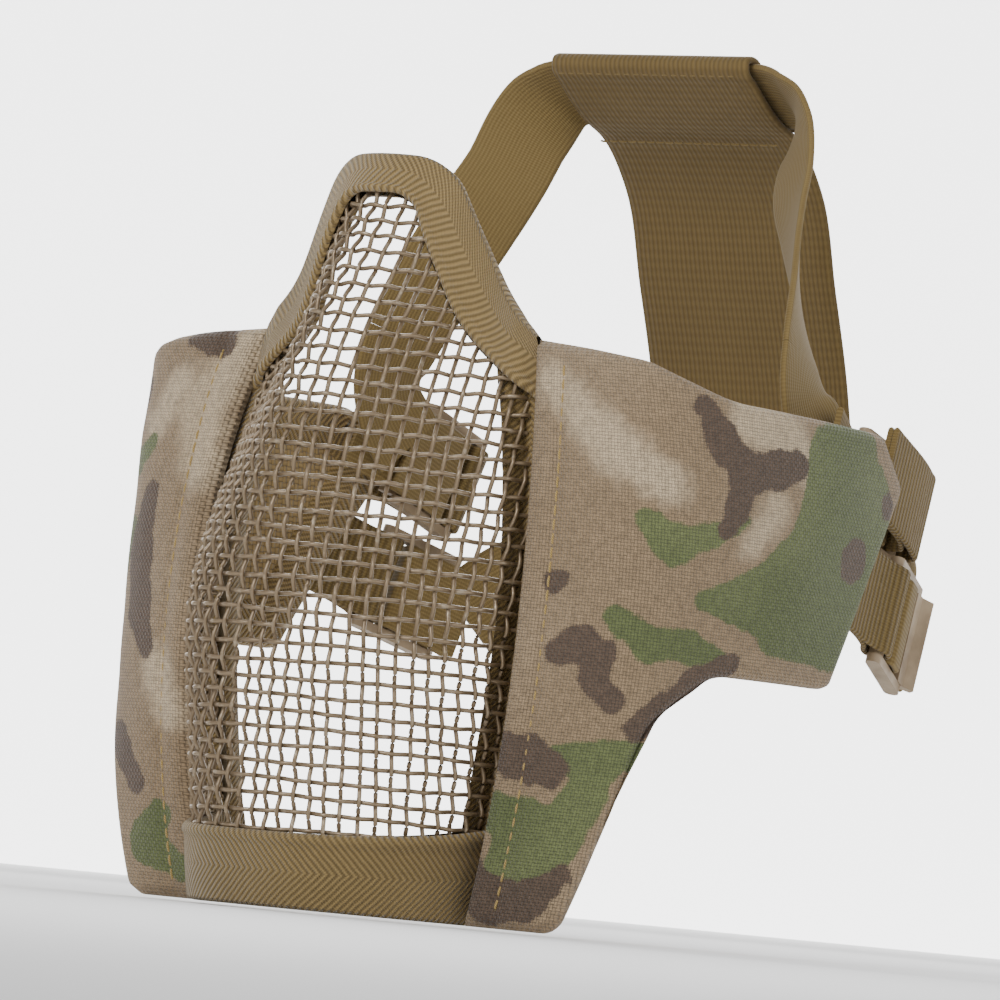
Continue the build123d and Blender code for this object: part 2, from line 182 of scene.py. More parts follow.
def strap_grid(centres, widths, width, thickness):
    """Grid of a flat strap with rounded edges along centres; widths are its cross directions."""
    travel = unit(np.gradient(centres, axis=0))
    side = widths - travel * np.sum(widths * travel, 1, keepdims=True)
    side = unit(side)
    normal = np.cross(travel, side)
    r = thickness / 2
    flat = np.linspace(-(width / 2 - r), width / 2 - r, 13)
    section = [(w, r) for w in flat]
    section += [(width / 2 - r + r * sin(a), r * cos(a)) for a in (pi / 4, pi / 2, 3 * pi / 4)]
    section += [(w, -r) for w in flat[::-1]]
    section += [(-(width / 2 - r) - r * sin(a), -r * cos(a)) for a in (pi / 4, pi / 2, 3 * pi / 4)]
    section = np.array(section)
    grid = centres[:, None] + side[:, None] * section[None, :, :1] + normal[:, None] * section[None, :, 1:]
    along = arc_lengths(centres)
    uv = np.stack(np.broadcast_arrays(along[:, None], section[None, :, 0]), -1)
    return grid, uv, {}


def stitch_row(points, normals, pitch=2.7, share=0.72, radius=0.26, sink=0.12):
    """Grids of short thread stitches lying along a line on a surface."""
    along = arc_lengths(points)
    grids = []
    for k in range(int(along[-1] / pitch)):
        at = np.linspace(k * pitch, (k + share) * pitch, 7)
        line = np.stack([np.interp(at, along, points[:, c]) for c in range(3)], 1)
        up = unit(np.stack([np.interp(at, along, normals[:, c]) for c in range(3)], 1))
        lift = np.sin(np.linspace(0, pi, 7))
        line = line + up * ((lift * 0.9 - 0.55) * radius - sink)[:, None]
        grids.append(tube(line, radius, 6))
    return grids


# ---------------------------------------------------------------- materials
class Paint:
    """A small helper that makes shader nodes and joins them."""

    def __init__(self, name):
        self.material = bpy.data.materials.new(name)
        self.material.use_nodes = True
        self.tree = self.material.node_tree
        self.tree.nodes.clear()
        self.out = self.tree.nodes.new("ShaderNodeOutputMaterial")
        self.shader = self.tree.nodes.new("ShaderNodeBsdfPrincipled")
        self.tree.links.new(self.shader.outputs[0], self.out.inputs[0])
        uv = self.tree.nodes.new("ShaderNodeUVMap")
        uv.uv_map = "cloth"
        self.uv = uv.outputs[0]
        parts = self.tree.nodes.new("ShaderNodeSeparateXYZ")
        self.tree.links.new(self.uv, parts.inputs[0])
        self.u, self.v = parts.outputs[0], parts.outputs[1]
        place = self.tree.nodes.new("ShaderNodeTexCoord")
        self.place = place.outputs["Object"]

    def put(self, value, socket):
        if isinstance(value, bpy.types.NodeSocket):
            self.tree.links.new(value, socket)
        else:
            socket.default_value = value

    def math(self, operation, *values):
        node = self.tree.nodes.new("ShaderNodeMath")
        node.operation = operation
        for value, socket in zip(values, node.inputs):
            self.put(value, socket)
        return node.outputs[0]

    def noise(self, scale, detail=2.0, roughness=0.5, vector=None):
        node = self.tree.nodes.new("ShaderNodeTexNoise")
        self.put(vector or self.place, node.inputs["Vector"])
        node.inputs["Scale"].default_value = scale
        node.inputs["Detail"].default_value = detail
        node.inputs["Roughness"].default_value = roughness
        return node.outputs[0]

    def mix(self, share, a, b):
        node = self.tree.nodes.new("ShaderNodeMix")
        node.data_type = "RGBA"
        self.put(share, node.inputs[0])
        self.put(a if not isinstance(a, tuple) else (*a, 1.0), node.inputs[6])
        self.put(b if not isinstance(b, tuple) else (*b, 1.0), node.inputs[7])
        return node.outputs[2]

    def step(self, value, low, high):
        node = self.tree.nodes.new("ShaderNodeMapRange")
        node.interpolation_type = "SMOOTHSTEP"
        self.put(value, node.inputs["Value"])
        node.inputs["From Min"].default_value = low
        node.inputs["From Max"].default_value = high
        return node.outputs["Result"]

    def field(self, name):
        node = self.tree.nodes.new("ShaderNodeAttribute")
        node.attribute_name = name
        return node.outputs["Fac"]

    def wave(self, value, pitch):
        """0 to 1 and back once per pitch."""
        turned = self.math("MULTIPLY", value, 2 * pi / pitch)
        return self.math("MULTIPLY_ADD", self.math("SINE", turned), 0.5, 0.5)

    def finish(self, colour, height, roughness, bump, depth, sheen=0.0, metal=0.0, specular=0.35):
        self.put(colour, self.shader.inputs["Base Color"])
        self.put(roughness, self.shader.inputs["Roughness"])
        self.shader.inputs["Metallic"].default_value = metal
        self.shader.inputs["Specular IOR Level"].default_value = specular
        if sheen:
            self.shader.inputs["Sheen Weight"].default_value = sheen
            self.shader.inputs["Sheen Roughness"].default_value = 0.5
        node = self.tree.nodes.new("ShaderNodeBump")
        node.inputs["Strength"].default_value = bump
        node.inputs["Distance"].default_value = depth
        self.put(height, node.inputs["Height"])
        self.put(node.outputs[0], self.shader.inputs["Normal"])
        return self.material


def twill(name, light, dark, pitch=1.25):
    """Herringbone tape: slanting ribs that meet in a chevron along the middle, with painted shade in the
    hollows between the ribs.
    """
    p = Paint(name)
    wobble = p.math("MULTIPLY_ADD", p.noise(260, 1), 0.5, -0.25)
    across = p.math("ABSOLUTE", p.v)
    slant = p.math("ADD", p.math("ADD", p.u, p.math("MULTIPLY", across, 0.85)), wobble)
    rib = p.wave(slant, pitch)
    fine = p.wave(p.math("SUBTRACT", p.math("MULTIPLY", across, 0.9), p.u), 0.62)
    fibre = p.noise(2600, 2)
    height = p.math("ADD", p.math("ADD", rib, p.math("MULTIPLY", fine, 0.3)), p.math("MULTIPLY", fibre, 0.4))
    spread = p.noise(45, 2)
    # Colour: painted shade, darker where the rib height is low, plus random tone from the spread noise.
    rib_shade_and_tone = p.math("MULTIPLY_ADD", spread, 0.35, p.math("MULTIPLY", p.step(height, 0.25, 1.35), 0.72))
    return p.finish(p.mix(rib_shade_and_tone, dark, light), height, 0.9, 0.85, 0.00035, 0.25)


def webbing(name, light, dark, rib, fine, strength, lengthwise=False):
    """Ribbed webbing or elastic; its ribs cross it, or run lengthwise, with painted shade in the hollows
    between them.
    """
    p = Paint(name)
    first, second = (p.v, p.u) if lengthwise else (p.u, p.v)
    ribs = p.wave(p.math("ADD", first, p.math("MULTIPLY", p.noise(300, 1), 0.2)), rib)
    threads = p.wave(second, fine)
    fibre = p.noise(2400, 2)
    woven = p.math("ADD", ribs, p.math("MULTIPLY", threads, 0.45))
    height = p.math("ADD", woven, p.math("MULTIPLY", fibre, 0.35))
    # Colour: painted shade, darker where the rib and thread height is low, plus random tone from noise.
    rib_shade_and_tone = p.math("MULTIPLY_ADD", p.noise(40, 2), 0.3, p.math("MULTIPLY", p.step(height, 0.3, 1.6), 0.7))
    return p.finish(p.mix(rib_shade_and_tone, dark, light), height, 0.88, strength, 0.0003, 0.1)


def plain_weave(p, pitch):
    """Height of a plain weave: each thread in turn on top."""
    a = p.math("SINE", p.math("MULTIPLY", p.u, pi / pitch))
    b = p.math("SINE", p.math("MULTIPLY", p.v, pi / pitch))
    over = p.math("GREATER_THAN", p.math("MULTIPLY", a, b), 0.0)
    warp = p.math("POWER", p.math("ABSOLUTE", a), 0.6)
    weft = p.math("POWER", p.math("ABSOLUTE", b), 0.6)
    level = p.math("ADD", p.math("MULTIPLY", over, warp),
                   p.math("MULTIPLY", p.math("SUBTRACT", 1.0, over), weft))
    return level


TAN, CREAM = (0.262, 0.184, 0.105), (0.50, 0.39, 0.255)
GREEN, BROWN = (0.100, 0.122, 0.042), (0.098, 0.064, 0.042)


def camouflage():
    p = Paint("camo_cloth")
    ragged = p.math("MULTIPLY_ADD", p.noise(330, 2, 0.6), 2.4, -1.2)
    level = plain_weave(p, 0.62)
    ragged = p.math("ADD", ragged, p.math("MULTIPLY_ADD", level, 0.5, -0.25))
    base = p.mix(p.step(p.noise(22, 1), 0.35, 0.7), TAN, (0.31, 0.225, 0.135))
    cream = p.step(p.math("ADD", p.field("cream"), p.math("MULTIPLY", ragged, 2.0)), 2.5, -2.5)
    colour = p.mix(cream, base, CREAM)
    green = p.step(p.math("ADD", p.field("green"), ragged), 0.35, -0.35)
    shade = p.mix(p.step(p.noise(30, 1), 0.35, 0.7), GREEN, (0.135, 0.158, 0.058))
    colour = p.mix(green, colour, shade)
    brown = p.step(p.math("ADD", p.field("brown"), ragged), 0.35, -0.35)
    colour = p.mix(brown, colour, BROWN)
    # Painted shade in the weave: the colour is scaled down where the weave height is low, between the
    # threads, and varied at random by thread noise.
    threads = p.math("MULTIPLY_ADD", p.noise(900, 2), 0.9, 0.55)
    lit = p.math("MULTIPLY", p.math("MULTIPLY_ADD", level, 0.75, 0.32), threads)
    node = p.tree.nodes.new("ShaderNodeVectorMath")
    node.operation = "SCALE"
    p.put(colour, node.inputs[0])
    p.put(lit, node.inputs["Scale"])
    return p.finish(node.outputs[0], level, 0.78, 0.9, 0.0003, 0.12, specular=0.4)


def lining_cloth():
    p = Paint("lining_cloth")
    level = plain_weave(p, 1.1)
    # Painted shade in the weave: darker where the weave height is low, lighter on the threads' tops.
    colour = p.mix(p.step(level, 0.1, 0.9), (0.12, 0.078, 0.03), (0.27, 0.185, 0.075))
    return p.finish(colour, level, 0.9, 0.9, 0.0004, 0.2)


def coated_wire():
    p = Paint("wire_coat")
    worn = p.step(p.noise(420, 3, 0.65), 0.52, 0.72)
    colour = p.mix(worn, (0.215, 0.155, 0.092), (0.36, 0.29, 0.20))
    rough = p.math("MULTIPLY_ADD", p.noise(900, 2), 0.25, 0.24)
    return p.finish(colour, p.noise(3200, 2), rough, 0.15, 0.0001, metal=0.45, specular=0.6)


def moulded():
    p = Paint("buckle_moulded")
    rough = p.math("MULTIPLY_ADD", p.noise(500, 3), 0.25, 0.38)
    colour = p.mix(p.step(p.noise(160, 3), 0.3, 0.75), (0.22, 0.155, 0.09), (0.36, 0.27, 0.17))
    return p.finish(colour, p.noise(1500, 3), rough, 0.25, 0.00015, specular=0.5)


def thread():
    p = Paint("stitch_thread")
    twist = p.wave(p.math("ADD", p.u, p.math("MULTIPLY", p.v, 0.8)), 0.42)
    # The colour follows the twist: painted shade in the grooves between the plies.
    return p.finish(p.mix(twist, (0.24, 0.155, 0.045), (0.46, 0.32, 0.11)), twist, 0.7, 0.5, 0.0001, 0.2)


CAMO, LINING, WIRE, PLASTIC, THREAD = camouflage(), lining_cloth(), coated_wire(), moulded(), thread()
NOSE_TAPE = twill("nose_twill", (0.33, 0.228, 0.092), (0.105, 0.068, 0.021))
# Chin tape: the same herringbone tape as the nose tape, coloured darker as painted shade on the
# downward-facing chin edge.
CHIN_TAPE_SHADED = twill("chin_twill_shaded", (0.255, 0.176, 0.066), (0.082, 0.053, 0.016))
TRIM_TAPE = twill("trim_twill", (0.28, 0.19, 0.07), (0.10, 0.064, 0.02))
STRAP = webbing("strap_elastic", (0.215, 0.15, 0.054), (0.135, 0.09, 0.03), 0.8, 0.5, 0.3, True)
TAB = webbing("tab_webbing", (0.205, 0.14, 0.047), (0.085, 0.054, 0.016), 1.35, 0.6, 0.8)
BAND = webbing("band_elastic", (0.172, 0.115, 0.039), (0.095, 0.062, 0.019), 1.15, 1.9, 0.45, True)

# ---------------------------------------------------------------- the wire front's surface
SECTIONS = np.array([
    (0.0, 28.5, 9.5, -22.5, 0.0), (30.0, 34.0, 7.5, -24.5, 0.0), (60.0, 37.0, 6.5, -26.0, 0.0),
    (85.0, 35.8, 6.0, -25.5, 0.4), (99.0, 33.6, 6.0, -22.5, 0.65), (112.0, 30.4, 6.0, -18.0, 0.9),
    (122.0, 30.4, 6.0, -12.5, 1.0), (134.0, 30.2, 6.0, -6.5, 1.0), (147.0, 30.0, 6.0, -1.0, 1.0)])
NOSE_HEIGHT, PANEL_HEIGHT = 145.0, 112.0
WIRE_REACH = 0.9985       # share of the half width that the wires reach before the seam
TAPE_INSET = 1.6    # wires end this far inside the nose arch's outer line
SECTION_LINE = smooth_line(SECTIONS, 10)


def section_at(z):
    return [np.interp(z, SECTION_LINE[:, 0], SECTION_LINE[:, k]) for k in (1, 2, 3, 4)]


def screen_xyz(share, z):
    """Point of the wire front at a share of its half width (-1 to 1) and a height."""
    share, z = np.broadcast_arrays(np.asarray(share, float), np.asarray(z, float))
    half, seam, ridge, nose = section_at(z)
    s = np.minimum(np.abs(share), 0.999)
    chin = (1 - s ** 2.7) ** (1 / 1.6)
    bell = (0.5 + 0.5 * np.cos(pi * s)) ** 1.4
    y = seam - (seam - ridge) * ((1 - nose) * chin + nose * bell)
    beyond = np.maximum(np.abs(share) - 0.999, 0) * half
    return np.stack([half * share, y + beyond * 0.55, z], -1)


def screen_normal(share, z):
    share = np.clip(share, -0.98, 0.98)
    a = screen_xyz(share + 0.012, z) - screen_xyz(share - 0.012, z)
    b = screen_xyz(share, z + 0.8) - screen_xyz(share, z - 0.8)
    return unit(np.cross(a, b))


FINE = np.sin(np.linspace(-pi / 2, pi / 2, 481)) * 0.9999
ROWS = {}


def row(z):
    """Arc length from the ridge against the share of half width, at one height."""
    key = round(float(z), 3)
    if key not in ROWS:
        points = screen_xyz(FINE, np.full(len(FINE), key))
        along = arc_lengths(points)
        ROWS[key] = along - along[len(FINE) // 2]
    return ROWS[key]


def arch_line(corners, radii):
    left = [arr(x, z) for x, z in corners]
    right = [arr(-x, z) for x, z in reversed(corners)]
    return fillet_line(right + left, radii[::-1] + radii, 10)


OUTER = arch_line([(12.8, NOSE_HEIGHT), (25.6, 120.8), (36.0, 109.5)], [11.0, 30.0])
INNER = arch_line([(7.2, 137.7), (19.0, 112.6), (38.0, 97.5)], [6.0, 28.0])


def arch_half(z, line, inset):
    """Half width of the arch at a height."""
    left = line[len(line) // 2:]
    return np.interp(z + inset, left[::-1, 1], left[::-1, 0], left=99.0, right=-1.0)


# ---------------------------------------------------------------- woven wires
PITCH, WIRE_RADIUS, CRIMP = 3.175, 0.44, 0.46
FIRST = 2.2
level_grids, upright_grids = [], []
for k in range(46):
    z = FIRST + k * PITCH
    if z > NOSE_HEIGHT - 1.6:
        break
    reach = row(z)
    limit = float(np.interp(WIRE_REACH, FINE, reach))
    room = arch_half(z, OUTER, TAPE_INSET)
    if room < 60:
        share = min(WIRE_REACH, float(room) / float(section_at(z)[0]))
        limit = float(np.interp(share, FINE, reach))
    if limit < 2.5:
        continue
    at = np.arange(-limit, limit, PITCH / 7)
    share = np.interp(at, reach, FINE)
    height = z + 0.22 * np.sin(at * 0.09 + k * 1.3) + 0.08 * np.sin(at * 0.31 + k)
    lift = CRIMP * np.cos(pi * at / PITCH + pi * k)
    points = screen_xyz(share, height) + screen_normal(share, height) * lift[:, None]
    level_grids.append(tube(points, WIRE_RADIUS))
heights = np.arange(FIRST - 1.2, NOSE_HEIGHT - 1.8, PITCH / 7)
for j in range(-23, 24):
    at = j * PITCH + 0.2 * np.sin(heights * 0.07 + j * 1.7) + 0.07 * np.sin(heights * 0.29 + j)
    shares = np.array([np.interp(a, row(round(z, 1)), FINE, left=-9, right=9) for a, z in zip(at, heights)])
    half = section_at(heights)[0]
    inside = (np.abs(shares) < WIRE_REACH) & (np.abs(shares) * half < arch_half(heights, OUTER, TAPE_INSET))
    if inside.sum() < 12:
        continue
    runs = np.split(np.arange(len(heights)), np.where(np.diff(inside.astype(int)) != 0)[0] + 1)
    for run in runs:
        if not inside[run[0]] or len(run) < 10:
            continue
        z, share = heights[run], shares[run]
        lift = -CRIMP * np.cos(pi * (z - FIRST) / PITCH + pi * j)
        points = screen_xyz(share, z) + screen_normal(share, z) * lift[:, None]
        upright_grids.append(tube(points, WIRE_RADIUS))
level_wires = build("level_wires", level_grids, WIRE, closed=True, caps=True)
upright_wires = build("upright_wires", upright_grids, WIRE, closed=True, caps=True)
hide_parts("mesh_screen")
for piece in (level_wires, upright_wires):
    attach(piece, "front")

# ---------------------------------------------------------------- folded edge tapes
WALL = 2.05          # from the wire front's middle surface to a tape's face
FOLD_REACH = 1.05    # how far the fold stands past the edge


def tape_section(count=15):
    """Share across the face (0 lip, 1 folded edge), side offset and reach past the edge."""
    profile = [(0.0, 0.75, 0.0), (0.0, 1.35, -0.25), (0.02, 2.0, -0.1), (0.05, 2.45, 0.0), (0.10, 2.5, 0.0)]
    profile += [(0.14, 2.2, 0.0)]
    for k in range(count):
        s = 0.18 + 0.80 * k / (count - 1)
        profile.append((s, WALL + 0.25 * sin(pi * (s - 0.15) / 0.85), 0.0))
    for a in np.linspace(0.12 * pi, 0.88 * pi, 7):
        profile.append((1.0, WALL * cos(a), FOLD_REACH * sin(a)))
    for s in (0.97, 0.7, 0.4, 0.1):
        profile.append((s, -WALL, 0.0))
    profile += [(0.02, -1.7, 0.0), (0.0, -0.75, 0.0)]
    return np.array(profile)


def folded_tape(name, inner, outer, material, replaces):
    """Tape folded over the wire front's edge, between two lines seen from the front (x, z)."""
    count = 150
    inner, outer = resample(inner, count), resample(outer, count)
    middle = arc_lengths((inner + outer) / 2)
    profile = tape_section()
    width = np.linalg.norm(outer - inner, axis=1)
    flat = inner[:, None] * (1 - profile[None, :, :1]) + outer[:, None] * profile[None, :, :1]
    outward = unit(outer - inner)
    reach = profile[None, :, 2:] - np.where(profile[None, :, :1] >= 1, FOLD_REACH, 0.0)
    flat = flat + outward[:, None] * reach
    z = flat[..., 1]
    share = flat[..., 0] / section_at(z)[0]
    points = screen_xyz(share, z) + screen_normal(share, z) * profile[None, :, 1:2]
    across = (profile[None, :, 0] - 0.55) * width[:, None]
    uv = np.stack(np.broadcast_arrays(middle[:, None], across), -1)
    piece = build(name, [(points, uv, {})], material)
    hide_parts(replaces)
    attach(piece, "front")
    return piece


def panel_edge(z):
    lean = np.where(z > 52, 7.0, 4.4)
    return 41.2 - 8.9 * ((z - 58) / 58) ** 2, -2.2 + lean * ((z - 52) / 60) ** 2


def up_to_panel(line):
    """The arch line, ended where it meets the cheek panels' front edges."""
    keep = [p for p in resample(line, 400) if abs(p[0]) < panel_edge(p[1])[0] - 0.2]
    return np.array(keep)


folded_tape("nose_tape", up_to_panel(INNER), up_to_panel(OUTER), NOSE_TAPE, "nose_binding")


def chin_tape():
    count = 150
    profile = tape_section()
    at = np.linspace(-1, 1, count)
    top = 14.2 + 4.5 * np.abs(at) ** 2.4
    past = profile[None, :, 2] - np.where(profile[None, :, 0] >= 1, FOLD_REACH, 0)
    z = top[:, None] * (1 - profile[None, :, 0]) - past
    shares = np.zeros_like(z)
    for i in range(z.shape[0]):
        for j in range(z.shape[1]):
            reach = row(round(max(z[i, j], 0.0), 0))
            shares[i, j] = np.interp(at[i] * reach[-1], reach, FINE)
    height = np.maximum(z, 0)
    points = screen_xyz(shares, height) + screen_normal(shares, height) * profile[None, :, 1:2]
    points[..., 2] = np.where(z < 0, 0.0, np.maximum(points[..., 2], 0.0))
    along = at * row(0.0)[-1]
    across = (profile[None, :, 0] - 0.5) * top[:, None]
    uv = np.stack(np.broadcast_arrays(along[:, None], across), -1)
    piece = build("chin_tape", [(points, uv, {})], CHIN_TAPE_SHADED)
    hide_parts("chin_binding")
    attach(piece, "front")
    return piece


chin_tape()

# Seam strips from behind the wire's side edges to the inside of the cheek panels' front edges.
for side, sign in SIDES:
    z = np.linspace(1.5, 111.0, 90)
    shares = np.array([np.interp(row(round(h, 0))[-1] - 5.5, row(round(h, 0)), FINE) for h in z])
    ends = np.array([np.interp(row(round(h, 0))[-1] - 0.8, row(round(h, 0)), FINE) for h in z])
    edge_x, edge_y = panel_edge(z)
    wire = screen_xyz(shares, z) - screen_normal(shares, z) * 1.0
    rim = screen_xyz(ends, z) - screen_normal(ends, z) * 1.0
    hem = np.stack([edge_x + 1.5, edge_y + 4.6, z], 1)
    back = arr(-0.9, 0.9, 0)
    lines = [wire, (wire + rim) / 2, rim, rim * 0.7 + hem * 0.3, (rim + hem) / 2, rim * 0.3 + hem * 0.7, hem,
             hem + back, (rim + hem) / 2 + back, rim + back, (wire + rim) / 2 + back, wire + back * 0.9]
    points = np.stack(lines, 1)
    across = np.concatenate([np.zeros((len(z), 1)),
                             np.cumsum(np.linalg.norm(np.diff(points, axis=1), axis=2), axis=1)], 1) - 6
    uv = np.stack(np.broadcast_arrays(z[:, None], across), -1)
    piece = build(f"{side}_seam_tape", [(flip(points, sign), uv, {})], TRIM_TAPE, closed=True, caps=True)
    if sign > 0:
        turn_faces(piece)
    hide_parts(f"{side}_side_binding")
    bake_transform(piece)

# ---------------------------------------------------------------- cheek panels
PANEL_REAR = [(71.0, 18.0), (74.0, 34.0), (73.5, 50.0), (71.0, 66.0), (67.0, 82.0), (64.4, 91.0)]
PLANS = {}


def plan(z):
    """Plan curve of a panel's outer face at one height, with its outward normals."""
    key = round(float(np.clip(z, -1, 114)), 1)
    if key not in PLANS:
        x, y = panel_edge(key)
        x, y = float(x), float(y)
        front = [(x, y), (53.0, 0.5 + 0.5 * (y + 2.2)), (64.2, 6.0 + 0.25 * (y + 2.2))]
        line = smooth_line(front + PANEL_REAR, 14)
        heading = unit(np.gradient(line, axis=0))
        normal = np.stack([heading[:, 1], -heading[:, 0]], 1)
        PLANS[key] = (line, normal, (line[:, 0] + line[:, 1]) / sqrt(2), arc_lengths(line))
    return PLANS[key]


def on_panel(u, z, depth):
    """Points and arc places on a panel, from the outline's u, the height and a depth inwards."""
    shape = u.shape
    points, arcs = np.zeros((u.size, 3)), np.zeros(u.size)
    normals = np.zeros((u.size, 3))
    depth = np.broadcast_to(depth, shape).ravel()
    for i, (a, h) in enumerate(zip(u.ravel(), z.ravel())):
        line, normal, reach, along = plan(h)
        x, y = np.interp(a, reach, line[:, 0]), np.interp(a, reach, line[:, 1])
        nx, ny = np.interp(a, reach, normal[:, 0]), np.interp(a, reach, normal[:, 1])
        points[i] = (x - nx * depth[i], y - ny * depth[i], h)
        normals[i] = (nx, ny, 0)
        arcs[i] = np.interp(a, reach, along)
    return points.reshape(shape + (3,)), arcs.reshape(shape), normals.reshape(shape + (3,))


def reach_of_edge(z):
    x, y = panel_edge(z)
    return (x + y) / sqrt(2)


# Outline of a panel on the upright plane that faces outwards at 45 degrees: (u, z).
REAR_FOOT, REAR_HEAD = (90.3, 51.3), (97.5, 101.7)
LOWER = fillet_line([(reach_of_edge(0.0), 0.0), (39.5, 0.0), (54.5, 41.0), (66.0, 51.3), REAR_FOOT],
                    [4.0, 14.0, 12.0], 10)
UPPER = fillet_line([(reach_of_edge(PANEL_HEIGHT), PANEL_HEIGHT), (47.0, 109.0), (66.0, 103.0), REAR_HEAD],
                    [20.0, 30.0], 10)
REAR = fillet_line([REAR_FOOT, (91.9, 51.5), (105.3, 92.0), (99.6, 101.3), REAR_HEAD], [1.4, 3.0, 2.6], 8)
COLS, ROWS_UP = 110, 84
PANEL_DEPTH = 4.6    # outer face to lining
HEM = 6.0            # front edge to the topstitch
ALONG_CLOTH = 1.1    # length along the cloth for each step of u near the front edge
TAPE_FROM = 32.0     # the inside edge tape starts behind the front hem


def panel_grid():
    """Grid of (u, z) over the panel: columns from the front edge, rows from the bottom."""
    t = np.linspace(0, 1, COLS)
    w = np.linspace(0, 1, ROWS_UP)
    low, high = resample(LOWER, COLS), resample(UPPER, COLS)
    rear = resample(REAR, ROWS_UP)
    front_z = PANEL_HEIGHT * w
    front = np.stack([reach_of_edge(front_z), front_z], 1)
    grid = low[None] * (1 - w)[:, None, None] + high[None] * w[:, None, None]
    grid = grid + (1 - t)[None, :, None] * front[:, None] + t[None, :, None] * rear[:, None]
    corner = (low[0] * (1 - w)[:, None] + high[0] * w[:, None])[:, None] * (1 - t)[None, :, None]
    corner = corner + (low[-1] * (1 - w)[:, None] + high[-1] * w[:, None])[:, None] * t[None, :, None]
    return grid - corner


def distance_in(grid):
    """Distance of each grid point from the outline, measured along the cloth."""
    stretch = arr(1.2, 1.0)
    edge = np.concatenate([grid[0, :-1], grid[:-1, -1], grid[-1][::-1][:-1], grid[::-1, 0]]) * stretch
    flat = grid.reshape(-1, 2) * stretch
    best = np.full(len(flat), 1e9)
    for p, q in zip(edge[:-1], edge[1:]):
        run = q - p
        share = np.clip((flat - p) @ run / max(run @ run, 1e-9), 0, 1)
        best = np.minimum(best, np.linalg.norm(flat - p - share[:, None] * run, axis=1))
    return best.reshape(grid.shape[:2])


def blobs(s, z, shapes, soft=2.0):
    """Signed distance, in mm, to soft-edged blobs given as chains of (s, z, radius)."""
    total = np.full(s.shape, 60.0)
    for chain in shapes:
        chain = chain if len(chain) > 1 else chain * 2
        for (ax, az, ar), (bx, bz, br) in zip(chain, chain[1:]):
            dx, dz = bx - ax + 1e-6, bz - az
            t = np.clip(((s - ax) * dx + (z - az) * dz) / (dx * dx + dz * dz), 0, 1)
            d = np.hypot(s - ax - t * dx, z - az - t * dz) - (ar + t * (br - ar))
            h = np.clip(0.5 + 0.5 * (total - d) / soft, 0, 1)
            total = total * (1 - h) + d * h - soft * h * (1 - h)
    return total


# Camouflage masses: chains of (distance from the front edge, height, radius).
PATTERN = {
    "left": {
        "brown": [[(38.5, 101, 2.6), (41.5, 95, 3.6), (47, 90, 3.8), (55, 91.5, 3.6), (61, 92.5, 3.2)],
                  [(46, 89, 3.4), (44.5, 83, 2.8), (42, 79, 2.2)], [(8, 66, 2.5), (9.5, 66.5, 2.2)],
                  [(10.5, 53, 3.0), (15, 55, 3.2), (19, 53, 2.6), (18, 48, 2.4), (22, 45, 2.8)],
                  [(28, 40, 3), (33, 44, 3), (38, 49, 3), (46, 54, 2.4)],
                  [(-2, 34, 4), (7, 32.5, 4.3), (13, 30.5, 3.6)],
                  [(-2, 9, 5), (6, 5, 4.2), (15, 6, 4), (20, 11, 2.5)],
                  [(81, 76, 4.3), (84, 77, 4.0)], [(96, 88, 3.0)]],
        "green": [[(26, 79, 2.6), (31, 75, 3.8), (38, 77, 2.5), (46, 81, 1.8)],
                  [(38, 65, 2.2), (50, 66, 6), (64, 71, 10), (84, 84, 14), (92, 72, 9), (76, 64, 9),
                   (56, 60, 4)],
                  [(64, 80, 4), (70, 96, 5), (84, 98, 6)],
                  [(21, 60, 2.5), (28, 56, 3.4), (36, 56, 3), (43, 54, 2.5)],
                  [(14, 33, 3), (22, 33, 3.8), (28, 35, 3)],
                  [(21, 27, 4.5), (16, 17, 6), (8, 11, 5), (9, 20, 5), (3, 22, 4)]],
        "cream": [[(6, 104, 4), (20, 92, 5), (30, 86, 4)], [(48, 100, 5), (58, 98, 5), (66, 91, 4)],
                  [(55, 84, 3), (48, 76, 2.5)], [(94, 62, 3), (88, 56, 3)]],
    },
    "right": {
        "brown": [[(17, 78, 3), (18, 66, 5.0), (16, 56, 4.5), (12, 48, 2.6)], [(30, 98, 4), (38, 92, 4)],
                  [(8, 108, 3), (16, 110, 3)], [(22, 30, 4), (15, 22, 3)], [(60, 80, 5), (70, 76, 4)]],
        "green": [[(24, 70, 4), (34, 60, 6), (45, 66, 6)], [(8, 16, 3), (14, 10, 4), (4, 6, 3)],
                  [(60, 92, 6), (75, 88, 8), (88, 78, 7)], [(20, 88, 2), (26, 84, 3)]],
        "cream": [[(2, 108, 5), (8, 96, 6), (4, 84, 5)], [(8, 44, 5), (4, 36, 4)],
                  [(16, 100, 4), (20, 92, 4)]],
    },
}

GRID = panel_grid()
INSIDE = distance_in(GRID)
FRONT_IN = (GRID[..., 0] - GRID[:, :1, 0]) * ALONG_CLOTH
U, Z = GRID[..., 0], GRID[..., 1]
ROUND = 2.3
edge_share = np.clip(1 - INSIDE / ROUND, 0, 1)
edge_drop = ROUND * (1 - np.sqrt(np.maximum(1 - edge_share ** 2, 0)))
groove = 0.55 * np.exp(-((FRONT_IN - HEM) / 0.9) ** 2)
hem_puff = 0.35 * np.exp(-((FRONT_IN - 3.0) / 2.0) ** 2) * np.clip(INSIDE / 3, 0, 1)
swell = 0.5 * np.clip((INSIDE - 5) / 12, 0, 1)
wrinkle = 0.16 * np.sin(U * 0.23 + Z * 0.11) * np.sin(Z * 0.19 - U * 0.07) * np.clip(INSIDE / 10, 0, 1)
OUT_DEPTH = edge_drop + groove - hem_puff - swell - wrinkle
outer_points, arcs, _ = on_panel(U, Z, OUT_DEPTH)
inner_drop = 1.2 * edge_share ** 2
